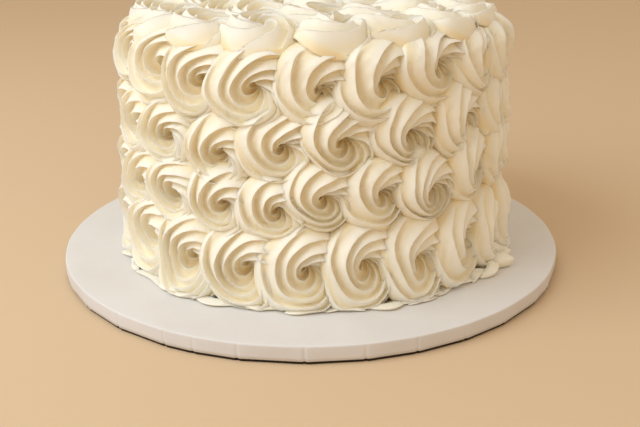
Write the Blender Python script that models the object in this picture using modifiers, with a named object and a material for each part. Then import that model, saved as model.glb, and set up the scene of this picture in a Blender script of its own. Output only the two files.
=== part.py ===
"""A round celebration cake covered all over with piped buttercream rosettes, on its white drum board.

Metres, +Z up, the front of the cake faces -Y. The origin is the middle of the board's underside.
The cake is one solid: a straight-sided core with every rosette fused to it. A rosette is a low
mound whose ridges wind clockwise from a small hollow in its middle out to its edge.
"""
import math
import random

import bmesh
import bpy
from mathutils import Matrix, Vector

MM = 0.001

# Board: a 14 inch drum, wrapped in white paper
BOARD_RADIUS = 178.0 * MM
BOARD_THICKNESS = 12.0 * MM
BOARD_EDGE_ROUND = 1.0 * MM
BOARD_SIDES = 64

# Core: a 10 inch cake with its coat of cream, standing a little to the right of the board's
# middle and drawing in slightly towards its top
CONTACT_GAP = 0.3 * MM
CORE_FOOT_RADIUS = 127.5 * MM
CORE_TOP_RADIUS = 123.5 * MM
CORE_BOTTOM = BOARD_THICKNESS + CONTACT_GAP
CORE_HEIGHT = 158.0 * MM
CORE_SHIFT = Vector((3.0 * MM, 0.0, 0.0))
CORE_EDGE_ROUND = 8.0 * MM
CORE_SIDES = 56
UNDERCUT = 12.0 * MM

# One rosette: the rings of its mound, from the hollow out to the foot. Each ring is
# (share of the radius, height above the core, how far its ridges stand over its grooves).
ROSETTE_RADIUS = 24.5 * MM
ROSETTE_RIDGES = 4
ROSETTE_TWIST = math.radians(125.0)
ROSETTE_RINGS = (
    (0.17, 8.6 * MM, 1.6 * MM),
    (0.52, 10.0 * MM, 3.2 * MM),
    (0.86, 8.4 * MM, 2.8 * MM),
    (1.00, -3.0 * MM, 0.0),
)
RIDGE_REACH = 0.05
HOLLOW_HEIGHT = 4.0 * MM
LEFT_EDGE_LIFT = math.radians(6.0)

# Side rows, top row first. "seen" holds the rosettes of the front as (azimuth in degrees from
# the front, positive to the right, and the height of the middle over the table in mm), "more"
# is how many others close the ring round the back, and "radius" is the size of the row's
# rosettes against ROSETTE_RADIUS.
SIDE_ROWS = (
    {"radius": 1.00, "more": 14,
     "seen": ((-49, 152), (-32, 150), (-16, 148), (1, 147), (18, 149), (36, 156), (54, 155))},
    {"radius": 0.98, "more": 14,
     "seen": ((-46, 112), (-26, 109), (-9, 114), (8, 118), (26, 120), (45, 121))},
    {"radius": 0.98, "more": 15,
     "seen": ((-43, 76), (-26, 77), (-11, 75), (2, 84), (17, 83), (33, 83), (50, 89))},
    {"radius": 1.17, "more": 13,
     "seen": ((-55, 42), (-37, 37), (-19, 39), (-3, 39), (13, 41), (29, 40), (46, 42), (62, 41))},
)
SIDE_UNEVEN_ANGLE = math.radians(1.2)
SIDE_UNEVEN_HEIGHT = 2.0 * MM

# Top rings, outer ring first. The outer ring leans out over the core's edge.
TOP_RINGS = (
    {"count": 17, "distance": 105.0 * MM, "height": 1.5 * MM, "lean": math.radians(20.0), "first": -12.0},
    {"count": 11, "distance": 66.0 * MM, "height": 3.0 * MM, "lean": math.radians(4.0), "first": 4.0},
    {"count": 5, "distance": 28.0 * MM, "height": 3.5 * MM, "lean": 0.0, "first": 20.0},
    {"count": 1, "distance": 0.0, "height": 4.5 * MM, "lean": 0.0, "first": 0.0},
)

SEED = 14
SIZE_UNEVEN = 0.04
SLIVERS_KEPT = 0.76


def clear_scene():
    """Remove every object that the file opens with."""
    for thing in list(bpy.data.objects):
        bpy.data.objects.remove(thing, do_unlink=True)


def new_collection(name):
    """Return a new collection linked to the scene."""
    collection = bpy.data.collections.new(name)
    bpy.context.scene.collection.children.link(collection)
    return collection


def new_material(name, colour, roughness):
    """Return a Principled material with one colour and roughness."""
    material = bpy.data.materials.new(name)
    material.use_nodes = True
    shader = material.node_tree.nodes["Principled BSDF"]
    shader.inputs["Base Color"].default_value = (*colour, 1.0)
    shader.inputs["Roughness"].default_value = roughness
    shader.inputs["Metallic"].default_value = 0.0
    return material


def new_round_block(name, foot_radius, top_radius, height, sides, collection):
    """Return a capped cylinder or blunt cone that stands on its own origin."""
    shape = bmesh.new()
    bmesh.ops.create_cone(shape, cap_ends=True, segments=sides, radius1=foot_radius,
                          radius2=top_radius, depth=height,
                          matrix=Matrix.Translation((0.0, 0.0, height / 2.0)))
    mesh = bpy.data.meshes.new(name)
    shape.to_mesh(mesh)
    shape.free()
    thing = bpy.data.objects.new(name, mesh)
    collection.objects.link(thing)
    return thing


def add_bevel(thing, width, segments):
    """Round the object's sharp edges."""
    bevel = thing.modifiers.new("round edge", "BEVEL")
    bevel.width = width
    bevel.segments = segments
    bevel.limit_method = "ANGLE"
    bevel.angle_limit = math.radians(40.0)


def apply_modifiers(thing):
    """Replace the object's mesh by the one its modifiers give."""
    graph = bpy.context.evaluated_depsgraph_get()
    finished = bpy.data.meshes.new_from_object(thing.evaluated_get(graph))
    thing.modifiers.clear()
    thing.data = finished


def rosette_mesh(name, radius, spin):
    """Loft the rings of one rosette, ridge and groove by turns, each ring turned on from the last.

    The rosette lies in its own XY plane, facing +Z. A ridge goes round clockwise as it goes out.
    """
    steps = 2 * ROSETTE_RIDGES
    shape = bmesh.new()
    hollow = shape.verts.new((0.0, 0.0, HOLLOW_HEIGHT))
    previous = None
    for share, height, relief in ROSETTE_RINGS:
        ring = []
        for step in range(steps):
            ridge = 1.0 if step % 2 == 0 else -1.0
            angle = spin + 2.0 * math.pi * step / steps - ROSETTE_TWIST * share
            reach = radius * share * (1.0 + RIDGE_REACH * ridge)
            place = (reach * math.cos(angle), reach * math.sin(angle), height + 0.5 * ridge * relief)
            ring.append(shape.verts.new(place))
        for step in range(steps):
            after = (step + 1) % steps
            if previous is None:
                shape.faces.new((hollow, ring[step], ring[after]))
            else:
                shape.faces.new((previous[step], ring[step], ring[after], previous[after]))
        previous = ring
    shape.faces.new(tuple(reversed(previous)))
    bmesh.ops.triangulate(shape, faces=shape.faces[:])
    bmesh.ops.recalc_face_normals(shape, faces=shape.faces[:])
    mesh = bpy.data.meshes.new(name)
    shape.to_mesh(mesh)
    shape.free()
    return mesh


def side_places(row, draw):
    """Return (azimuth, height) of every rosette of a row, those seen first, then the rest evenly."""
    places = [(math.radians(azimuth), height * MM) for azimuth, height in row["seen"]]
    first = places[0]
    last = places[-1]
    gap = 2.0 * math.pi - (last[0] - first[0])
    for number in range(1, row["more"] + 1):
        share = number / (row["more"] + 1.0)
        azimuth = last[0] + gap * share + draw.uniform(-1.0, 1.0) * SIDE_UNEVEN_ANGLE
        height = last[1] + (first[1] - last[1]) * share
        height += draw.uniform(-1.0, 1.0) * SIDE_UNEVEN_HEIGHT
        places.append((azimuth, height))
    return places


def side_frame(azimuth, height):
    """Return the matrix that stands a rosette on the core's side, its left edge lifted."""
    out = Vector((math.sin(azimuth), -math.cos(azimuth), 0.0))
    right = Vector((math.cos(azimuth), math.sin(azimuth), 0.0))
    rise = (height - CORE_BOTTOM) / CORE_HEIGHT
    reach = CORE_FOOT_RADIUS + (CORE_TOP_RADIUS - CORE_FOOT_RADIUS) * rise
    spot = CORE_SHIFT + out * reach + Vector((0.0, 0.0, height))
    turn = Matrix((right, Vector((0.0, 0.0, 1.0)), out)).transposed().to_4x4()
    return Matrix.Translation(spot) @ turn @ Matrix.Rotation(LEFT_EDGE_LIFT, 4, "Y")


def top_frame(azimuth, ring, core_top):
    """Return the matrix that lays a rosette on the core's top, leaning outwards by the ring's lean."""
    out = Vector((math.sin(azimuth), -math.cos(azimuth), 0.0))
    right = Vector((math.cos(azimuth), math.sin(azimuth), 0.0))
    spot = CORE_SHIFT + out * ring["distance"] + Vector((0.0, 0.0, core_top + ring["height"]))
    turn = Matrix((right, -out, Vector((0.0, 0.0, 1.0)))).transposed().to_4x4()
    return Matrix.Translation(spot) @ turn @ Matrix.Rotation(ring["lean"], 4, "X")


def pipe_rosettes(collection, core_top):
    """Make every rosette of the side rows and of the top rings as an object of the collection."""
    draw = random.Random(SEED)
    frames = []
    for row in SIDE_ROWS:
        for azimuth, height in side_places(row, draw):
            frames.append((side_frame(azimuth, height), row["radius"]))
    for ring in TOP_RINGS:
        for number in range(ring["count"]):
            azimuth = math.radians(ring["first"] + 360.0 * number / ring["count"])
            frames.append((top_frame(azimuth, ring, core_top), 1.0))
    for number, (frame, size) in enumerate(frames):
        radius = ROSETTE_RADIUS * size * (1.0 + draw.uniform(-1.0, 1.0) * SIZE_UNEVEN)
        mesh = rosette_mesh("rosette", radius, draw.uniform(0.0, 2.0 * math.pi))
        thing = bpy.data.objects.new("rosette_%03d" % number, mesh)
        thing.matrix_world = frame
        collection.objects.link(thing)


def keep_outer_shell(mesh):
    """Keep the largest connected shell: sealed hollows are filled and loose scraps dropped."""
    shape = bmesh.new()
    shape.from_mesh(mesh)
    waiting = set(shape.faces)
    shells = []
    while waiting:
        front = [waiting.pop()]
        shell = []
        while front:
            face = front.pop()
            shell.append(face)
            for edge in face.edges:
                for other in edge.link_faces:
                    if other in waiting:
                        waiting.remove(other)
                        front.append(other)
        shells.append(shell)
    shells.sort(key=len, reverse=True)
    for shell in shells[1:]:
        bmesh.ops.delete(shape, geom=shell, context="FACES")
    shape.to_mesh(mesh)
    shape.free()


def make_level_cutter():
    """Make the cutter that levels the cake's underside just over the board."""
    cutters = new_collection("cutters")
    depth = 2.0 * UNDERCUT
    cutter = new_round_block("level_cutter", BOARD_RADIUS, BOARD_RADIUS, depth, BOARD_SIDES, cutters)
    cutter.location = (0.0, 0.0, CORE_BOTTOM - depth)
    cutter.hide_render = True
    cutter.display_type = "WIRE"
    return cutter


def make_cake(collection):
    """Fuse the core and all the rosettes into one closed solid."""
    piped = new_collection("piped rosettes")
    cake = new_round_block("cake", CORE_FOOT_RADIUS, CORE_TOP_RADIUS, CORE_HEIGHT + UNDERCUT,
                           CORE_SIDES, collection)
    cake.location = CORE_SHIFT + Vector((0.0, 0.0, CORE_BOTTOM - UNDERCUT))
    add_bevel(cake, CORE_EDGE_ROUND, 2)
    pipe_rosettes(piped, CORE_BOTTOM + CORE_HEIGHT)
    union = cake.modifiers.new("fuse rosettes", "BOOLEAN")
    union.operation = "UNION"
    union.operand_type = "COLLECTION"
    union.collection = piped
    union.solver = "MANIFOLD"
    level = cake.modifiers.new("level underside", "BOOLEAN")
    level.operation = "DIFFERENCE"
    level.object = make_level_cutter()
    level.solver = "MANIFOLD"
    thin = cake.modifiers.new("thin slivers", "DECIMATE")
    thin.ratio = SLIVERS_KEPT
    apply_modifiers(cake)
    for thing in list(piped.objects):
        bpy.data.objects.remove(thing, do_unlink=True)
    bpy.data.collections.remove(piped)
    keep_outer_shell(cake.data)
    cake.data.materials.clear()
    cake.data.materials.append(new_material("ivory buttercream", (0.86, 0.76, 0.56), 0.45))
    return cake


def make_board(collection):
    """Make the drum board, a thick disc with softly rounded edges."""
    board = new_round_block("cake_board", BOARD_RADIUS, BOARD_RADIUS, BOARD_THICKNESS, BOARD_SIDES,
                            collection)
    add_bevel(board, BOARD_EDGE_ROUND, 2)
    board.data.materials.append(new_material("white board paper", (0.80, 0.77, 0.73), 0.55))
    return board


def main():
    """Build the cake and its board."""
    clear_scene()
    collection = new_collection("wedding cake")
    make_board(collection)
    make_cake(collection)


main()
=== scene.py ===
"""Looks of a round celebration cake covered with piped buttercream rosettes, on its drum board.

Lengths inside the shape functions are in millimetres and turn into metres as a mesh is made.
The front of the cake faces -Y. Azimuths are counted from the front, positive to the right.
"""
import math
import random

import bpy
import numpy as np
from mathutils import Matrix, Vector


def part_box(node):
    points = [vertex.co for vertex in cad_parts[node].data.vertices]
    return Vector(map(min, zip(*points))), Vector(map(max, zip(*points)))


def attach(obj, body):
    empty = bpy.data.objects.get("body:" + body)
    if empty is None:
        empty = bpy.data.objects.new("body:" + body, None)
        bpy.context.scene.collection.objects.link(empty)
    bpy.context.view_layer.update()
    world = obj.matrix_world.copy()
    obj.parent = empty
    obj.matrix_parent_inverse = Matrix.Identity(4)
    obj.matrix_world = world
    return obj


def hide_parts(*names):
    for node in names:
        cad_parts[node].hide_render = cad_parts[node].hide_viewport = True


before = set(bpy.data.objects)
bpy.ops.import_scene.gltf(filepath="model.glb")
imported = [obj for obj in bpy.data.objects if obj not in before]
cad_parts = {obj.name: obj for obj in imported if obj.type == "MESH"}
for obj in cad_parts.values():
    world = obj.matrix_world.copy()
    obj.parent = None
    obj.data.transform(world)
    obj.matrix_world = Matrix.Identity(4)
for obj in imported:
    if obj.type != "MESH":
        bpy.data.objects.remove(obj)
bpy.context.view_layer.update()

MM = 0.001
TURN = 2.0 * math.pi
# The rosettes' draws start from it, the others from the next numbers
SEED = 14

# Board, from the frame's box: its edge's rounding, the radius where its wall begins, how far its
# lower edge steps back at the bottom and under the paper, and the height of its painted shadow
BOARD_LOW, BOARD_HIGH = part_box("cake_board")
BOARD_RADIUS = 0.5 * (BOARD_HIGH[0] - BOARD_LOW[0]) / MM
BOARD_TOP = BOARD_HIGH[2] / MM
BOARD_EDGE_ROUND = 1.1
BOARD_WALL_FROM = 172.0
BOARD_STEP_BACK = 1.2
BOARD_STEP_UNDER = 0.9
PAINTED_SHADOW_HEIGHT = 1.8
BOARD_SIDES = 1440
# Folds of the paper on the board's wall
PLEATS = 34
PLEAT_DEPTH = 0.65
PLEAT_UNEVEN = 0.3
CREASE_WIDTH = 0.9
PROUD_LENGTH = 7.0

# Core, from the sizes of the solids, a little narrower at its top, as in the photograph
CORE_SHIFT_X = 3.0
CORE_FOOT_RADIUS = 126.0
CORE_TOP_RADIUS = 118.0
CORE_BOTTOM = BOARD_TOP + 0.3
CORE_TOP = CORE_BOTTOM + 158.0
CORE_EDGE_ROUND = 9.0
# The cream spreads below this height over the core's bottom, and stays this clear of the bottom
FOOT_HEIGHT = 24.0
FOOT_CLEAR = 0.05
# Coat of cream under the rosettes: how far it lies inside the core, where its underside ends,
# and by how much it and the rosettes spread with the square of the depth
COAT_INSET = 3.5
COAT_UNDERSIDE = 112.0
COAT_SIDES = 180
COAT_SPREAD = 0.008
ROSETTE_SPREAD = 0.009
# The coat's ripples: height in millimetres, waves round the cake, radians for each millimetre up
COAT_RIPPLES = ((0.4, 9.0, 0.09), (0.3, 23.0, -0.21))

# Rosettes: the places are those of the solids. "seen" holds the front's rosettes as (azimuth in
# degrees, height of the hollow), "more" is how many others close the ring round the back.
ROSETTE_RADIUS = 27.5
SIDE_ROWS = (
    {"radius": 1.03, "drop": 1.0, "left_rise": 7.0, "more": 14,
     "seen": ((-49, 152), (-32, 150), (-16, 148), (1, 147), (18, 149), (36, 156), (54, 155))},
    {"radius": 0.92, "drop": 1.0, "left_rise": 0.0, "more": 14,
     "seen": ((-46, 112), (-26, 109), (-9, 114), (8, 118), (26, 120), (45, 121))},
    {"radius": 0.91, "drop": 1.0, "left_rise": 0.0, "more": 15,
     "seen": ((-43, 76), (-26, 77), (-11, 75), (2, 84), (17, 83), (33, 83), (50, 89))},
    {"radius": 1.04, "drop": 1.24, "left_rise": 0.0, "more": 13,
     "seen": ((-55, 42), (-37, 37), (-19, 39), (-3, 39), (13, 41), (29, 40), (46, 42), (62, 41))},
)
SIDE_SIZES = (0.95, 1.05)
SIDE_TILTS = (9.5, 12.5)
SIDE_UNEVEN_ANGLE = math.radians(1.2)
SIDE_UNEVEN_HEIGHT = 2.0
# Where the uppermost row rises, at the left, and how wide the rise is, in degrees
LEFT_RISE_AT = 282.0
LEFT_RISE_WIDTH = 16.0
# Near the core's top edge the side's rosettes lean back and droop, from this depth under it
LEAN_BACK_DEPTH = 9.0
LEAN_BACK = 0.035
DROOP = 0.012

# Rings of the top, from the edge to the middle
TOP_RINGS = (
    {"count": 17, "radius": 0.97, "distance": 102.5, "height": 4.6, "lean": 4.0, "first": -14.0},
    {"count": 11, "radius": 1.06, "distance": 66.0, "height": 4.6, "lean": 4.0, "first": 4.0},
    {"count": 5, "radius": 1.06, "distance": 28.0, "height": 5.0, "lean": 0.0, "first": 20.0},
    {"count": 1, "radius": 1.0, "distance": 0.0, "height": 6.0, "lean": 0.0, "first": 0.0},
)
TOP_SIZES = (0.96, 1.05)
TOP_TILTS = (6.0, 10.0)
TOP_TURNS = (-70.0, 40.0)
TOP_UNEVEN = 1.5
TOP_STRETCH = np.array((1.1, 0.96, 1.0))
TOP_DROOP_INSIDE = 8.5

# Petals of a rosette. Height of a petal from its crest outwards to the channel under the next
# crest, against the share of the way across: a thin edge, a hollow face, the channel, a steep rise
ARMS = 6
ARM_UNEVEN = 0.16
BAND_SHARE = np.array((0.0, 0.05, 0.12, 0.22, 0.36, 0.52, 0.68, 0.82, 0.91, 0.965))
BAND_THIN = np.array((1.0, 0.92, 0.77, 0.56, 0.34, 0.16, 0.03, 0.02, 0.28, 0.76))
# The same for the thick outer petals
BAND_THICK = np.array((1.0, 0.98, 0.90, 0.74, 0.50, 0.25, 0.06, 0.04, 0.34, 0.78))
ROSETTE_ROWS = 54
ROSETTE_COLUMNS = ARMS * len(BAND_SHARE)
# The first row of points, as a share of the radius
FIRST_SHARE = 0.03
# Turns from the hollow to the rim, the power of the radius by which they grow, strength of single
# petals, where the petals fan out, in degrees, how strongly, and how far a crest leans inwards
WINDINGS = (0.88, 1.28)
WINDING_POWER = 0.7
PETAL_STRENGTHS = (0.8, 1.2)
FAN_SIDES = (15.0, 55.0)
FAN_STRENGTH = 0.38
CREST_LEAN = 0.25
# Sway of the radius, twice and three times round, as shares of it. Then how far the rosette bends
# in its plane, swells out of it and is lumpy, in millimetres, and the waves, in radians per
# millimetre
SWAY_TWICE = 0.06
SWAY_THRICE = 0.035
BEND = 0.9
BEND_WAVE = 0.21
SWELL = 0.9
SWELL_WAVE = 0.14
LUMPY = 0.35
LUMPY_WAVES = (0.83, 0.71)
# How far and to which side, in degrees, the circles' centres wander, and the height of the curl
# of cream in the hollow
WANDER_SHARES = (0.8, 1.15)
WANDER_SIDES = (-70.0, -10.0)
CURL_HEIGHTS = (2.4, 3.6)
# Across the rosette: share of the radius, then the height of the mound, the height of the crests,
# and how far the centres of the circles wander off the hollow, all in millimetres
MOUND_SHARE = np.array((0.0, 0.06, 0.12, 0.20, 0.34, 0.50, 0.66, 0.78, 0.87, 0.94, 1.0))
MOUND_HEIGHT = np.array((-4.6, -4.0, -1.2, 3.2, 8.0, 10.6, 10.8, 9.6, 7.8, 4.8, -6.5))
CREST_HEIGHT = np.array((0.3, 1.8, 3.4, 4.6, 5.5, 5.9, 5.8, 4.4, 1.9, 0.6, 0.1))
WANDER = np.array((0.0, 1.1, 2.3, 3.9, 5.6, 5.2, 3.8, 2.4, 1.4, 0.6, 0.0))
# What the rosettes of the top have more of: flatter outer slopes, and crests that reach the rim
LOOSE_MOUND = np.array((1.8, 1.6, 1.2, -0.6, -2.6, -4.2, -5.2, -5.6, -5.6, -4.4, 2.0))
LOOSE_CREST = np.array((0.0, 0.0, 0.0, 0.4, 0.8, 1.0, 1.2, 2.4, 3.6, 2.8, 0.4))
LOOSE_WINDING = -0.3
LOOSE_SWAY = 0.7
# Painted shade in the hollow's bottom, and at the poles in the hollow and under the rosette
HOLLOW_SHADE = 1.8
POLE_SHADES = (1.7, 1.4)

# Dabs of cream where a rope was broken off: the share of rosettes with one, its radius, height,
# its place as a share of the rosette's radius to the right and up, and how deep it is rooted
DAB_ROWS = 10
DAB_COLUMNS = 20
DAB_SHARE = 0.6
DAB_RADII = (3.0, 5.0)
DAB_HEIGHTS = (8.0, 10.5)
DAB_RIGHT = (0.60, 0.75)
DAB_UP = (-0.55, 0.30)
DAB_ROOT = 4.0
DAB_RIDGES = 5.0

# Tongues of cream pressed out along the board: outwards past the core's foot, half length, half
# width and height in millimetres, and the lump at the right front, each with its azimuth first
TONGUES = 44
TONGUE_ROWS = 18
TONGUE_COLUMNS = 16
TONGUE_OUTWARD = (8.0, 12.0)
TONGUE_HALF_LENGTHS = (9.0, 19.0)
TONGUE_HALF_WIDTHS = (3.0, 5.0)
TONGUE_HEIGHTS = (1.6, 3.6)
LUMP = ((56.0, 14.5, 12.0, 4.5, 6.5), (61.0, 16.0, 8.0, 6.0, 9.5), (66.0, 12.0, 11.0, 5.0, 8.0),
        (51.0, 12.5, 9.0, 4.0, 4.5), (63.5, 9.0, 9.0, 6.0, 13.0))

# Colours
CREST_COLOUR = (0.93, 0.90, 0.80, 1.0)
# Painted shade of the cream: darker golden tones for its channels and hollows, where shade falls
CHANNEL_SHADE_COLOUR = (0.93, 0.83, 0.61, 1.0)
HOLLOW_SHADE_COLOUR = (0.90, 0.70, 0.36, 1.0)
PAPER_DARKER = (0.745, 0.737, 0.735, 1.0)
PAPER_LIGHTER = (0.795, 0.79, 0.795, 1.0)
WALL_TINT = (0.94, 0.93, 0.94, 1.0)
# Painted shadow: the board's stepped-back foot is painted near black as its contact shadow
PAINTED_SHADOW_TINT = (0.030, 0.016, 0.007, 1.0)
NO_TINT = (1.0, 1.0, 1.0, 1.0)
FLOOR_COLOUR = (0.71, 0.54, 0.355, 1.0)

# Studio: half the floor's side in metres, the lights as (name, place, size, watts, colour), the
# point that they look at, and the light from all round
FLOOR_HALF = 4.0
LIGHTS = (
    ("key", (-1.05, -0.6, 1.12), 1.3, 17.4, (0.82, 0.92, 1.0)),
    ("fill", (1.1, -1.2, 0.8), 1.2, 0.9, (1.0, 0.84, 0.66)),
)
LIGHTS_AIM = Vector((0.0, 0.0, 0.08))
WORLD_COLOUR = (1.0, 0.83, 0.64, 1.0)
WORLD_STRENGTH = 0.67

# Photograph's camera: a 900 pixel focal length in a frame 640 pixels wide
FRAME_WIDTH = 640.0
FOCAL_PIXELS = 900.0
SENSOR_WIDTH = 36.0
CAMERA_PLACE = Vector((0.0067, -0.626, 0.2601))
CAMERA_PITCH = math.radians(20.56)
CAMERA_ROLL = math.radians(-0.43)


# Meshes from arrays
def mesh_from_faces(name, points, quads, triangles):
    """Return a mesh object from points in millimetres, an array of quads and one of triangles."""
    mesh = bpy.data.meshes.new(name)
    mesh.vertices.add(len(points))
    mesh.vertices.foreach_set("co", (points * MM).astype(np.float32).ravel())
    corners = np.concatenate((quads.ravel(), triangles.ravel()))
    mesh.loops.add(len(corners))
    mesh.loops.foreach_set("vertex_index", corners.astype(np.int32))
    starts = np.concatenate((np.arange(0, quads.size, 4),
                             quads.size + np.arange(0, triangles.size, 3)))
    mesh.polygons.add(len(starts))
    mesh.polygons.foreach_set("loop_start", starts.astype(np.int32))
    mesh.update(calc_edges=True)
    mesh.shade_smooth()
    mesh.validate()
    thing = bpy.data.objects.new(name, mesh)
    bpy.context.scene.collection.objects.link(thing)
    return thing


def ring_quads(rows, columns):
    """Quads between rows of points whose columns close into a ring."""
    row = np.arange(rows - 1)[:, None]
    column = np.arange(columns)[None, :]
    after = (column + 1) % columns
    corners = (row * columns + column, row * columns + after,
               (row + 1) * columns + after, (row + 1) * columns + column)
    return np.stack(corners, axis=-1).reshape(-1, 4)


def pole_fans(rows, columns):
    """Triangles that close both ends of a ring grid onto two poles, stored after its points."""
    column = np.arange(columns)
    after = (column + 1) % columns
    first_pole = np.full(columns, rows * columns)
    last_row = (rows - 1) * columns
    start = np.stack((first_pole, after, column), axis=-1)
    end = np.stack((first_pole + 1, last_row + column, last_row + after), axis=-1)
    return np.concatenate((start, end))


def set_attribute(thing, name, values):
    """Store one number for each point of the mesh."""
    layer = thing.data.attributes.new(name, "FLOAT", "POINT")
    layer.data.foreach_set("value", values.astype(np.float32).ravel())


def join_shapes(name, shapes, rows, columns):
    """Join shapes of one grid, each (points, painted shade), into one piece."""
    quads = ring_quads(rows, columns)[:, ::-1]
    fans = pole_fans(rows, columns)[:, ::-1]
    count = rows * columns + 2
    points = np.concatenate([shape[0] for shape in shapes])
    groove_shades = np.concatenate([shape[1] for shape in shapes])
    all_quads = np.concatenate([quads + number * count for number in range(len(shapes))])
    all_fans = np.concatenate([fans + number * count for number in range(len(shapes))])
    piece = mesh_from_faces(name, points, all_quads, all_fans)
    set_attribute(piece, "groove_shade", groove_shades)
    return piece


def smooth_step(value):
    """Ease from 0 to 1: three times the square less twice the cube of the clipped value."""
    value = np.clip(value, 0.0, 1.0)
    return value * value * (3.0 - 2.0 * value)


def core_radius(height):
    """Radius of the core at a height: a straight line from its foot to its top."""
    rise = (height - CORE_BOTTOM) / (CORE_TOP - CORE_BOTTOM)
    return CORE_FOOT_RADIUS + (CORE_TOP_RADIUS - CORE_FOOT_RADIUS) * rise


def around_core(azimuth, reach, level):
    """Return points from their azimuths, distances from the cake's axis and heights."""
    return np.stack((CORE_SHIFT_X + reach * np.sin(azimuth), -reach * np.cos(azimuth), level), -1)


# Shape of one rosette
def petal_bands(draw, share):
    """Return where the columns stand, counted in petals, and the petals' profile and strength.

    The petals start unevenly. Their profile passes from BAND_THIN in the middle to BAND_THICK
    outside, by a smooth step of the share of the radius.
    """
    arm = np.arange(ARMS)
    arm_start = arm + np.array([draw.uniform(-ARM_UNEVEN, ARM_UNEVEN) for _ in arm])
    arm_width = np.append(arm_start[1:], arm_start[0] + ARMS) - arm_start
    across = (arm_start[:, None] + arm_width[:, None] * BAND_SHARE[None, :]).ravel()
    thick = smooth_step((share - 0.45) / 0.35)[:, None]
    petal = (1.0 - thick) * np.tile(BAND_THIN, ARMS) + thick * np.tile(BAND_THICK, ARMS)
    strength = np.repeat(np.array([draw.uniform(*PETAL_STRENGTHS) for _ in arm]), len(BAND_SHARE))
    return across, petal, strength


def crest_heights(draw, share, angle, crowd, strength, loose):
    """Return the height of the crests on the grid, in millimetres.

    It follows CREST_HEIGHT along the radius, times each petal's strength and a sine of twice
    the angle. Near the rim it is lower where the petals crowd.
    """
    along = np.interp(share, MOUND_SHARE, CREST_HEIGHT + loose * LOOSE_CREST)
    crest = along[:, None] * strength[None, :]
    crest = crest * (1.0 + 0.15 * np.sin(2.0 * angle + draw.uniform(0.0, TURN)))
    outer = smooth_step((share - 0.4) / 0.4)[:, None]
    return crest * (1.0 - outer * 0.9 * (1.0 - np.clip(crowd, 0.3, 1.0)))


def rosette(draw, radius, loose=0.0):
    """Return the points and painted shade of one piped rosette, hollow at the origin, facing +Z.

    Its painted shade runs from 0 on a crest to 1 in a channel, on to 1.6 at the rim and to its
    highest in the hollow: darker, more golden tones where shade falls.

    A round mound with a hollow in the middle carries spiral petals. The columns of its grid are
    spirals that wind outwards clockwise, turning by `winding` turns from the hollow to the rim,
    and the rows are circles whose centres wander off the hollow. The columns crowd together at
    the upper right, by a cosine of the angle, so that the petals fan out there and lie as
    crescents on the other side. Crests lean in towards the hollow by the square of the petal's
    height. The radius sways by sines of twice and three times the angle, the whole bends and
    swells by slow sines of its own plane, and a curl of cream, bell-shaped, lies in the hollow.
    The rim dives into the coat. With `loose` at 1 the outer petals are flatter, stand up to the
    rim and swing out further.
    """
    winding = draw.uniform(*WINDINGS) * (1.0 + LOOSE_WINDING * loose)
    start = draw.uniform(0.0, TURN)
    share = np.linspace(FIRST_SHARE, 1.0, ROSETTE_ROWS)
    across, petal, strength = petal_bands(draw, share)

    angle = start + TURN * across[None, :] / ARMS
    angle = angle - TURN * winding * (share ** WINDING_POWER)[:, None]
    fan = math.radians(draw.uniform(*FAN_SIDES))
    crowd = 1.0 - FAN_STRENGTH * np.cos(angle - fan)
    angle = angle - FAN_STRENGTH * np.sin(angle - fan)
    mound = np.interp(share, MOUND_SHARE, MOUND_HEIGHT + loose * LOOSE_MOUND)[:, None]
    crest = crest_heights(draw, share, angle, crowd, strength, loose)
    height = mound + crest * (petal - 0.5)
    reach = radius * share[:, None] - CREST_LEAN * crest * petal ** 2
    sway = SWAY_TWICE * np.sin(2.0 * angle + draw.uniform(0.0, TURN))
    sway = sway + SWAY_THRICE * np.sin(3.0 * angle + draw.uniform(0.0, TURN))
    reach = reach * (1.0 + (1.0 + LOOSE_SWAY * loose) * share[:, None] * sway)

    wander = draw.uniform(*WANDER_SHARES) * np.interp(share, MOUND_SHARE, WANDER)[:, None]
    aside = math.radians(draw.uniform(*WANDER_SIDES))
    place_x = reach * np.cos(angle) + wander * math.cos(aside)
    place_y = reach * np.sin(angle) + wander * math.sin(aside)
    ways = [draw.uniform(0.0, TURN) for _ in range(4)]
    place_x = place_x + BEND * np.sin(BEND_WAVE * place_y + ways[0]) * share[:, None]
    place_y = place_y + BEND * np.sin(BEND_WAVE * place_x + ways[1]) * share[:, None]
    height = height + SWELL * np.sin(SWELL_WAVE * place_x + ways[2])
    height = height + SWELL * np.sin(SWELL_WAVE * place_y + ways[3])
    lumps = LUMPY * np.sin(LUMPY_WAVES[0] * place_x + ways[1])
    height = height + lumps * np.sin(LUMPY_WAVES[1] * place_y + ways[0])
    from_curl = (place_x - 1.2) ** 2 / 5.0 + (place_y + 1.6) ** 2 / 1.6
    height = height + draw.uniform(*CURL_HEIGHTS) * np.exp(-from_curl)

    disc = np.stack((place_x, place_y, height), axis=-1)
    hollow = disc[0].mean(axis=0)
    poles = np.array(((hollow[0], hollow[1], hollow[2] - 0.4), (0.0, 0.0, -8.0)))
    # Painted shade, deepest in the hollow and again at the rim, on top of the channels' shade
    deep = (HOLLOW_SHADE - 1.0) * (1.0 - smooth_step((share - FIRST_SHARE) / 0.35))
    deep = deep + 0.6 * smooth_step((share - 0.9) / 0.07)
    groove_shade = np.concatenate(((1.0 - petal + deep[:, None]).ravel(), POLE_SHADES))
    return np.concatenate((disc.reshape(-1, 3), poles)), groove_shade


def turn_flat(points, angle):
    """Turn a rosette about its own axis by an angle."""
    cosine = math.cos(angle)
    sine = math.sin(angle)
    return np.stack((points[:, 0] * cosine - points[:, 1] * sine,
                     points[:, 0] * sine + points[:, 1] * cosine, points[:, 2]), axis=-1)


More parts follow.
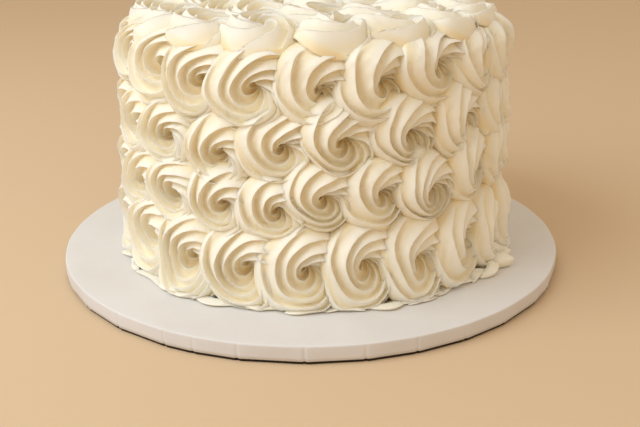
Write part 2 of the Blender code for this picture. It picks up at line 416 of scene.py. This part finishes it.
# Rosettes and dabs on the side
def wrap_on_side(points, azimuth, height, tilt, drop):
    """Bend a rosette round the core: across becomes azimuth, up stays up, out adds to the radius.

    Its left side is raised by the tilt, over its neighbour, and its lower half is stretched by
    `drop`. What comes near the core's top leans back and droops by the square of its height
    above a line under the top edge. What comes near the board spreads outwards by the square of
    its depth below a line over the board, and what would sink into the board is levelled and
    drawn in, softly, by half of the root of the squared depth plus four, less the depth.
    """
    across = points[:, 0]
    up = points[:, 1] * np.where(points[:, 1] < 0.0, drop, 1.0)
    above = height + up - CORE_BOTTOM
    sunk = 0.5 * (np.sqrt(above ** 2 + 4.0) - above)
    level = CORE_BOTTOM + FOOT_CLEAR + above + sunk
    foot = np.maximum(CORE_BOTTOM + FOOT_HEIGHT - level, 0.0)
    over = np.maximum(level - (CORE_TOP - LEAN_BACK_DEPTH), 0.0)
    reach = core_radius(height) + points[:, 2] - math.tan(tilt) * across - LEAN_BACK * over ** 2
    reach = reach + ROSETTE_SPREAD * foot ** 2 - 1.2 * sunk
    turned = azimuth + across / core_radius(height)
    level = level - DROOP * over ** 2
    return around_core(turned, reach, level)


def side_places(row, draw):
    """Return (azimuth, height) of every rosette of a row, those seen first, then the rest evenly.

    The rest rise at the left by a bell-shaped curve of the azimuth.
    """
    places = [(math.radians(azimuth), float(height)) for azimuth, height in row["seen"]]
    first = places[0]
    last = places[-1]
    gap = TURN - (last[0] - first[0])
    for number in range(1, row["more"] + 1):
        share = number / (row["more"] + 1.0)
        azimuth = last[0] + gap * share + draw.uniform(-1.0, 1.0) * SIDE_UNEVEN_ANGLE
        height = last[1] + (first[1] - last[1]) * share
        height += draw.uniform(-1.0, 1.0) * SIDE_UNEVEN_HEIGHT
        beside = (math.degrees(azimuth) - LEFT_RISE_AT) / LEFT_RISE_WIDTH
        height += row["left_rise"] * math.exp(-beside ** 2)
        places.append((azimuth, height))
    return places


def dab(draw, radius, tall):
    """Return the points and painted shade of a small drop of cream, where a rope was broken off.

    Its radius falls with height as one less the power 1.7, with soft twisting ridges, and its
    tip is bent aside by the square of the height.
    """
    share = np.linspace(0.985, 0.0, DAB_ROWS)[:, None]
    angle = TURN * np.arange(DAB_COLUMNS)[None, :] / DAB_COLUMNS
    ridge = 0.5 + 0.5 * np.cos(DAB_RIDGES * (angle + 1.3 * share) + draw.uniform(0.0, TURN))
    reach = radius * (1.0 - share ** 1.7) * (0.86 + 0.24 * ridge)
    bend = draw.uniform(0.5, 1.1) * radius
    way = draw.uniform(0.0, TURN)
    squash = draw.uniform(0.7, 1.0)
    place_x = reach * np.cos(angle) + bend * math.cos(way) * share ** 2
    place_y = squash * reach * np.sin(angle) + bend * math.sin(way) * share ** 2
    height = np.broadcast_to(-DAB_ROOT + (DAB_ROOT + tall) * share, reach.shape)
    grid = np.stack((place_x, place_y, height), axis=-1)
    poles = np.array((grid[0].mean(axis=0), grid[-1].mean(axis=0)))
    # Painted shade between the ridges and at the foot
    groove_shade = np.concatenate((0.6 * (1.0 - ridge.ravel()), (0.2, 0.8)))
    return np.concatenate((grid.reshape(-1, 3), poles)), groove_shade


def pipe_side(draw):
    """Pipe the four side rows, and the dabs at the right of some of their rosettes."""
    places_draw = random.Random(SEED)
    dabs_draw = random.Random(SEED + 3)
    pieces = []
    dabs = []
    rows = [side_places(row, places_draw) for row in SIDE_ROWS]
    for number, (row, places) in enumerate(zip(SIDE_ROWS, rows), start=1):
        shapes = []
        for azimuth, height in places:
            radius = ROSETTE_RADIUS * row["radius"] * draw.uniform(*SIDE_SIZES)
            points, groove_shades = rosette(draw, radius)
            tilt = math.radians(draw.uniform(*SIDE_TILTS))
            shapes.append((wrap_on_side(points, azimuth, height, tilt, row["drop"]), groove_shades))
            if dabs_draw.random() < DAB_SHARE:
                dab_radius = dabs_draw.uniform(*DAB_RADII)
                points, groove_shades = dab(dabs_draw, dab_radius, dabs_draw.uniform(*DAB_HEIGHTS))
                points[:, 0] += radius * dabs_draw.uniform(*DAB_RIGHT)
                points[:, 1] += radius * dabs_draw.uniform(*DAB_UP)
                dabs.append((wrap_on_side(points, azimuth, height, 0.0, 1.0), groove_shades))
        name = "rosettes_side_row_%d" % number
        pieces.append(join_shapes(name, shapes, ROSETTE_ROWS, ROSETTE_COLUMNS))
    pieces.append(join_shapes("cream_dabs", dabs, DAB_ROWS, DAB_COLUMNS))
    return pieces


# Rosettes on the top
def lay_on_top(points, azimuth, distance, height, lean, tilt):
    """Lay a rosette on the core's top: its own up points to the middle, and it leans outwards.

    Its left side is raised by the tilt, over its neighbour. Where it comes over the core's edge
    it droops with the square of the distance past a ring.
    """
    outward = np.maximum(distance - points[:, 1] - (CORE_TOP_RADIUS - TOP_DROOP_INSIDE), 0.0)
    rise = points[:, 2] - DROOP * outward ** 2 - math.tan(tilt) * points[:, 0]
    frame_out = np.array((math.sin(azimuth), -math.cos(azimuth), 0.0))
    frame_right = np.array((math.cos(azimuth), math.sin(azimuth), 0.0))
    up = np.array((0.0, 0.0, 1.0))
    inward = -frame_out * math.cos(lean) + up * math.sin(lean)
    normal = frame_out * math.sin(lean) + up * math.cos(lean)
    spot = np.array((CORE_SHIFT_X, 0.0, CORE_TOP + height)) + frame_out * distance
    return spot + points[:, :1] * frame_right + points[:, 1:2] * inward + rise[:, None] * normal


def pipe_top(draw):
    """Pipe the rings of the top: the edge is one piece and the rings inside it are another."""
    rings = []
    for ring in TOP_RINGS:
        shapes = []
        for step in range(ring["count"]):
            around = ring["first"] + 360.0 * step / ring["count"]
            azimuth = math.radians(around + draw.uniform(-TOP_UNEVEN, TOP_UNEVEN))
            radius = ROSETTE_RADIUS * ring["radius"] * draw.uniform(*TOP_SIZES)
            points, groove_shades = rosette(draw, radius, 1.0)
            points = turn_flat(points, math.radians(draw.uniform(*TOP_TURNS)))
            points = points * TOP_STRETCH
            lean = math.radians(ring["lean"])
            tilt = math.radians(draw.uniform(*TOP_TILTS))
            distance = ring["distance"] + draw.uniform(-TOP_UNEVEN, TOP_UNEVEN)
            points = lay_on_top(points, azimuth, distance, ring["height"], lean, tilt)
            shapes.append((points, groove_shades))
        rings.append(shapes)
    edge = join_shapes("rosettes_top_edge", rings[0], ROSETTE_ROWS, ROSETTE_COLUMNS)
    inside = rings[1] + rings[2] + rings[3]
    middle = join_shapes("rosettes_top_middle", inside, ROSETTE_ROWS, ROSETTE_COLUMNS)
    return [edge, middle]


# Tongues of cream on the board
def tongue(draw, azimuth, outward, half_length, half_width, tall):
    """Return the points and painted shade of a tongue of cream that lies on the board.

    A flat ellipse is swept along an arc round the cake: along the arc its size follows the root
    of one less the square, and its middle line swings in and out by a sine. Its flat side lies
    just over the board.
    """
    along = np.linspace(-0.985, 0.985, TONGUE_ROWS)[:, None]
    angle = TURN * np.arange(TONGUE_COLUMNS)[None, :] / TONGUE_COLUMNS
    size = np.sqrt(1.0 - along ** 2) * (1.0 + 0.22 * along * draw.uniform(-1.0, 1.0))
    swing = half_width * 0.6 * np.sin(2.4 * along + draw.uniform(0.0, TURN))
    middle = CORE_FOOT_RADIUS + outward + swing
    reach = middle + half_width * size * np.cos(angle) * (1.0 + 0.18 * np.sin(angle))
    rise = 0.5 * tall * size * (1.0 + np.sin(angle) + 0.16 * np.cos(3.0 * angle))
    level = CORE_BOTTOM + 0.1 + np.maximum(rise, 0.0)
    turned = azimuth + half_length * along / CORE_FOOT_RADIUS
    grid = around_core(turned, reach, level)
    poles = np.array((grid[0].mean(axis=0), grid[-1].mean(axis=0)))
    # Painted shade: darker on the underside and flanks near the board, paler on top
    around = np.clip(0.55 - 0.45 * np.sin(angle), 0.0, 1.0).repeat(TONGUE_ROWS, 0)
    groove_shade = np.concatenate((around.ravel(), (0.6, 0.6)))
    return np.concatenate((grid.reshape(-1, 3), poles)), groove_shade


def lay_tongues():
    """Lay the tongues round the foot and the lump at the right front."""
    draw = random.Random(SEED + 4)
    shapes = []
    for number in range(TONGUES):
        azimuth = TURN * (number + draw.uniform(-0.4, 0.4)) / TONGUES
        outward = draw.uniform(*TONGUE_OUTWARD)
        half_length = draw.uniform(*TONGUE_HALF_LENGTHS)
        half_width = draw.uniform(*TONGUE_HALF_WIDTHS)
        tall = draw.uniform(*TONGUE_HEIGHTS)
        shapes.append(tongue(draw, azimuth, outward, half_length, half_width, tall))
    for azimuth, outward, half_length, half_width, tall in LUMP:
        shapes.append(tongue(draw, math.radians(azimuth), outward, half_length, half_width, tall))
    return join_shapes("cream_tongues", shapes, TONGUE_ROWS, TONGUE_COLUMNS)


# Coat of cream under the rosettes
def make_coat():
    """Turn the coat, `COAT_INSET` inside the core: up its side, round the top edge, to the axis.

    The radius ripples by a sum of two sines of azimuth and height, as a spatula leaves it, and
    grows towards the board by the square of the depth below a line over it.
    """
    corner = np.linspace(0.0, 0.5 * math.pi, 7)
    bottom = CORE_BOTTOM + FOOT_CLEAR
    top = CORE_TOP - COAT_INSET
    top_radius = CORE_TOP_RADIUS - COAT_INSET
    side_levels = np.linspace(bottom, top - CORE_EDGE_ROUND, 40)
    reach = np.concatenate((
        [40.0, 80.0, 110.0], core_radius(side_levels) - COAT_INSET,
        top_radius - CORE_EDGE_ROUND * (1.0 - np.cos(corner[1:])),
        np.linspace(top_radius - CORE_EDGE_ROUND, 8.0, 13)[1:]))
    level = np.concatenate((
        [bottom] * 3, side_levels,
        top - CORE_EDGE_ROUND * (1.0 - np.sin(corner[1:])), [top] * 12))
    azimuth = TURN * np.arange(COAT_SIDES) / COAT_SIDES
    ripple = 0.0
    for tall, waves, climb in COAT_RIPPLES:
        ripple = ripple + tall * np.sin(waves * azimuth[None, :] + climb * level[:, None])
    outside = reach > COAT_UNDERSIDE
    foot = np.maximum(CORE_BOTTOM + FOOT_HEIGHT - level, 0.0) * outside
    wide = (reach + COAT_SPREAD * foot ** 2)[:, None] + ripple * outside[:, None]
    points = around_core(azimuth[None, :], wide, np.broadcast_to(level[:, None], wide.shape))
    poles = np.array(((CORE_SHIFT_X, 0.0, level[0]), (CORE_SHIFT_X, 0.0, top)))
    points = np.concatenate((points.reshape(-1, 3), poles))
    quads = ring_quads(len(reach), COAT_SIDES)
    fans = pole_fans(len(reach), COAT_SIDES)
    coat = mesh_from_faces("cream_coat", points, quads, fans)
    # Painted shade: the whole coat, under the rosettes, is painted a little darker than a crest
    set_attribute(coat, "groove_shade", np.full(len(points), 0.8))
    return coat


# Board
def pleats(azimuth, draw):
    """Return how far the wall's paper lies inside the board's radius, at each azimuth.

    The paper is folded over the rim in `PLEATS` places. At each it drops by a narrow bell-shaped
    crease and stands proud just past it, fading as an exponential. Between folds it pulls
    straight: it lies on the chord of the round from one fold to the next.
    """
    starts = [number + draw.uniform(-PLEAT_UNEVEN, PLEAT_UNEVEN) for number in range(PLEATS)]
    starts = np.array([TURN * start / PLEATS for start in starts])
    depths = np.array([draw.uniform(0.5, 1.3) for _ in range(PLEATS)])
    away = (azimuth[None, :] - starts[:, None] + 0.5 * TURN) % TURN - 0.5 * TURN
    away = away * BOARD_RADIUS
    crease = depths[:, None] * np.exp(-(away / CREASE_WIDTH) ** 2)
    proud = 0.4 * depths[:, None] * np.exp(-np.maximum(away, 0.0) / PROUD_LENGTH)
    proud = proud * smooth_step((away - 0.4) / 1.2)
    ends = np.concatenate((starts[-2:] - TURN, starts, starts[:2] + TURN))
    after = np.searchsorted(ends, azimuth, side="right")
    half = 0.5 * (ends[after] - ends[after - 1])
    middle = 0.5 * (ends[after] + ends[after - 1])
    pulled = BOARD_RADIUS * (1.0 - np.cos(half) / np.cos(azimuth - middle))
    return PLEAT_DEPTH * (crease.sum(axis=0) - proud.sum(axis=0)) + pulled


def make_board():
    """Turn the drum board: flat underside, wall with a rounded upper edge, flat top, folded paper.

    The folds are deepest at the lower edge and fade towards the upper one. Below the paper's
    lower edge the wall steps back. The attribute "wall" is 0 on the top, 1 on the wall and 2 on
    the stepped-back foot, painted near black as the contact shadow under the board.
    """
    corner = np.linspace(0.0, 0.5 * math.pi, 6)
    recess = BOARD_RADIUS - BOARD_STEP_BACK
    reach = np.concatenate((
        [80.0, 165.0, recess, recess, BOARD_RADIUS - BOARD_STEP_UNDER], [BOARD_RADIUS] * 3,
        BOARD_RADIUS - BOARD_EDGE_ROUND + BOARD_EDGE_ROUND * np.cos(corner), [170.0, 130.0, 80.0]))
    level = np.concatenate((
        [0.0] * 3, [1.7, 1.9, 2.2, 4.5, 8.0],
        BOARD_TOP - BOARD_EDGE_ROUND + BOARD_EDGE_ROUND * np.sin(corner), [BOARD_TOP] * 3))
    azimuth = TURN * np.arange(BOARD_SIDES) / BOARD_SIDES
    on_wall = smooth_step((reach - BOARD_WALL_FROM) / 4.0)[:, None]
    on_wall = on_wall * (1.0 - 0.75 * level / BOARD_TOP)[:, None]
    folded = np.maximum(pleats(azimuth, random.Random(SEED + 2)), 0.0)
    wide = reach[:, None] - on_wall * folded[None, :]
    points = np.stack((wide * np.sin(azimuth)[None, :], -wide * np.cos(azimuth)[None, :],
                       np.broadcast_to(level[:, None], wide.shape)), axis=-1)
    poles = np.array(((0.0, 0.0, 0.0), (0.0, 0.0, BOARD_TOP)))
    points = np.concatenate((points.reshape(-1, 3), poles))
    quads = ring_quads(len(reach), BOARD_SIDES)
    fans = pole_fans(len(reach), BOARD_SIDES)
    board = mesh_from_faces("drum_board", points, quads, fans)
    wall = smooth_step((reach - 176.4) / 1.2) * (level < BOARD_TOP - 0.3)
    # Painted shadow: the lowest ring of the wall gets 2, near black in the paper's tint
    wall = np.repeat(np.where(level < PAINTED_SHADOW_HEIGHT, 2.0, wall), BOARD_SIDES)
    set_attribute(board, "wall", np.concatenate((wall, (0.0, 0.0))))
    return board


# Materials
def new_material(name):
    """Return a node material and its Principled shader."""
    material = bpy.data.materials.new(name)
    material.use_nodes = True
    return material, material.node_tree.nodes["Principled BSDF"]


def add_noise(material, place, scale, detail):
    """Add a noise texture in the object's own coordinates and return it."""
    noise = material.node_tree.nodes.new("ShaderNodeTexNoise")
    noise.inputs["Scale"].default_value = scale
    noise.inputs["Detail"].default_value = detail
    material.node_tree.links.new(place.outputs["Object"], noise.inputs["Vector"])
    return noise


def add_bump(material, height, strength, distance):
    """Add a bump of the given height socket and return it."""
    bump = material.node_tree.nodes.new("ShaderNodeBump")
    bump.inputs["Strength"].default_value = strength
    bump.inputs["Distance"].default_value = distance
    material.node_tree.links.new(height, bump.inputs["Height"])
    return bump


def add_ramp(material, low, high):
    """Add a colour ramp between two stops, each (position, colour), and return it."""
    ramp = material.node_tree.nodes.new("ShaderNodeValToRGB")
    stops = ramp.color_ramp.elements
    stops[0].position = low[0]
    stops[0].color = low[1]
    stops[1].position = high[0]
    stops[1].color = high[1]
    return ramp


def buttercream():
    """Ivory cream: paler crests, painted shade that makes channels and hollows darker and warmer,
    a soft satin surface with a fine grain.

    Fine streaks run along the petals, as a sine of the value that sets the painted shade.
    """
    material, shader = new_material("ivory_buttercream")
    nodes = material.node_tree.nodes
    links = material.node_tree.links
    place = nodes.new("ShaderNodeTexCoord")
    groove_shade = nodes.new("ShaderNodeAttribute")
    groove_shade.attribute_name = "groove_shade"
    depth = nodes.new("ShaderNodeMath")
    depth.operation = "DIVIDE"
    depth.inputs[1].default_value = HOLLOW_SHADE
    links.new(groove_shade.outputs["Fac"], depth.inputs[0])
    # Painted shade: from the cream's own tone on crests, darker and more golden into channels and
    # hollows
    tone = add_ramp(material, (0.17, CREST_COLOUR), (1.0, HOLLOW_SHADE_COLOUR))
    channel = tone.color_ramp.elements.new(0.56)
    channel.color = CHANNEL_SHADE_COLOUR
    links.new(depth.outputs["Value"], tone.inputs["Fac"])
    links.new(tone.outputs["Color"], shader.inputs["Base Color"])
    grain = add_noise(material, place, 900.0, 3.0)
    across = nodes.new("ShaderNodeMath")
    across.operation = "MULTIPLY"
    across.inputs[1].default_value = 38.0
    links.new(groove_shade.outputs["Fac"], across.inputs[0])
    streak = nodes.new("ShaderNodeMath")
    streak.operation = "SINE"
    links.new(across.outputs["Value"], streak.inputs[0])
    relief = nodes.new("ShaderNodeMath")
    relief.operation = "MULTIPLY_ADD"
    relief.inputs[1].default_value = 0.22
    links.new(streak.outputs["Value"], relief.inputs[0])
    links.new(grain.outputs["Fac"], relief.inputs[2])
    bump = add_bump(material, relief.outputs["Value"], 0.12, 0.0004)
    links.new(bump.outputs["Normal"], shader.inputs["Normal"])
    shader.inputs["Roughness"].default_value = 0.54
    shader.inputs["Specular IOR Level"].default_value = 0.33
    shader.inputs["Subsurface Weight"].default_value = 0.4
    shader.inputs["Subsurface Radius"].default_value = (1.0, 0.92, 0.78)
    shader.inputs["Subsurface Scale"].default_value = 0.0022
    return material


def board_paper():
    """White matte paper with faint mottling, fibres and soft dents.

    The wall, where the paper is folded over, is a little greyer, and its stepped-back foot is
    painted dark as the shadow under the board.
    """
    material, shader = new_material("white_board_paper")
    nodes = material.node_tree.nodes
    links = material.node_tree.links
    place = nodes.new("ShaderNodeTexCoord")
    mottle = add_noise(material, place, 22.0, 5.0)
    tone = add_ramp(material, (0.3, PAPER_DARKER), (0.7, PAPER_LIGHTER))
    links.new(mottle.outputs["Fac"], tone.inputs["Fac"])
    wall = nodes.new("ShaderNodeAttribute")
    wall.attribute_name = "wall"
    # The tint's dark end is the painted shadow under the board
    tint = add_ramp(material, (0.0, NO_TINT), (1.0, PAINTED_SHADOW_TINT))
    middle = tint.color_ramp.elements.new(0.5)
    middle.color = WALL_TINT
    half = nodes.new("ShaderNodeMath")
    half.operation = "MULTIPLY"
    half.inputs[1].default_value = 0.5
    links.new(wall.outputs["Fac"], half.inputs[0])
    links.new(half.outputs["Value"], tint.inputs["Fac"])
    product = nodes.new("ShaderNodeMixRGB")
    product.blend_type = "MULTIPLY"
    product.inputs["Fac"].default_value = 1.0
    links.new(tone.outputs["Color"], product.inputs["Color1"])
    links.new(tint.outputs["Color"], product.inputs["Color2"])
    links.new(product.outputs["Color"], shader.inputs["Base Color"])
    fibre = add_noise(material, place, 1400.0, 2.0)
    bump = add_bump(material, fibre.outputs["Fac"], 0.1, 0.0002)
    dents = add_noise(material, place, 65.0, 3.0)
    dents.inputs["Distortion"].default_value = 0.8
    uneven = add_bump(material, dents.outputs["Fac"], 0.35, 0.0006)
    links.new(bump.outputs["Normal"], uneven.inputs["Normal"])
    links.new(uneven.outputs["Normal"], shader.inputs["Normal"])
    shader.inputs["Roughness"].default_value = 0.55
    return material


# Studio
def add_light(name, place, size, watts, colour):
    """Hang a square area light that looks at the cake's middle."""
    data = bpy.data.lights.new(name, "AREA")
    data.size = size
    data.energy = watts
    data.color = colour
    lamp = bpy.data.objects.new(name, data)
    lamp.location = place
    aim = LIGHTS_AIM - Vector(place)
    lamp.rotation_euler = aim.to_track_quat("-Z", "Y").to_euler()
    bpy.context.scene.collection.objects.link(lamp)


def make_studio():
    """Lay the pale floor and hang the soft lights."""
    corners = np.array(((-1.0, -1.0, 0.0), (1.0, -1.0, 0.0), (1.0, 1.0, 0.0), (-1.0, 1.0, 0.0)))
    points = FLOOR_HALF * corners / MM
    floor = mesh_from_faces("floor", points, np.array(((0, 1, 2, 3),)), np.empty((0, 3), int))
    material, shader = new_material("pale_floor")
    shader.inputs["Base Color"].default_value = FLOOR_COLOUR
    shader.inputs["Roughness"].default_value = 0.8
    floor.data.materials.append(material)
    for name, place, size, watts, colour in LIGHTS:
        add_light(name, place, size, watts, colour)
    world = bpy.data.worlds.new("studio")
    world.use_nodes = True
    bpy.context.scene.world = world
    sky = world.node_tree.nodes["Background"]
    sky.inputs["Color"].default_value = WORLD_COLOUR
    sky.inputs["Strength"].default_value = WORLD_STRENGTH


def make_camera():
    """Stand the camera where the photograph was taken from."""
    data = bpy.data.cameras.new("camera")
    data.sensor_width = SENSOR_WIDTH
    data.lens = FOCAL_PIXELS / FRAME_WIDTH * SENSOR_WIDTH
    camera = bpy.data.objects.new("camera", data)
    pitch = Matrix.Rotation(0.5 * math.pi - CAMERA_PITCH, 4, "X")
    turn = pitch @ Matrix.Rotation(CAMERA_ROLL, 4, "Z")
    camera.matrix_world = Matrix.Translation(CAMERA_PLACE) @ turn
    bpy.context.scene.collection.objects.link(camera)
    bpy.context.scene.camera = camera


def dress():
    """Make every piece, give it its finish and say what it rides on and stands for."""
    cream = buttercream()
    draw = random.Random(SEED + 1)
    for piece in pipe_side(draw) + pipe_top(draw) + [lay_tongues(), make_coat()]:
        piece.data.materials.append(cream)
        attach(piece, "root")
        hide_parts("cake")
    board = make_board()
    board.data.materials.append(board_paper())
    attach(board, "root")
    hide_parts("cake_board")


bpy.context.scene.view_settings.view_transform = "Standard"
make_camera()
make_studio()
dress()
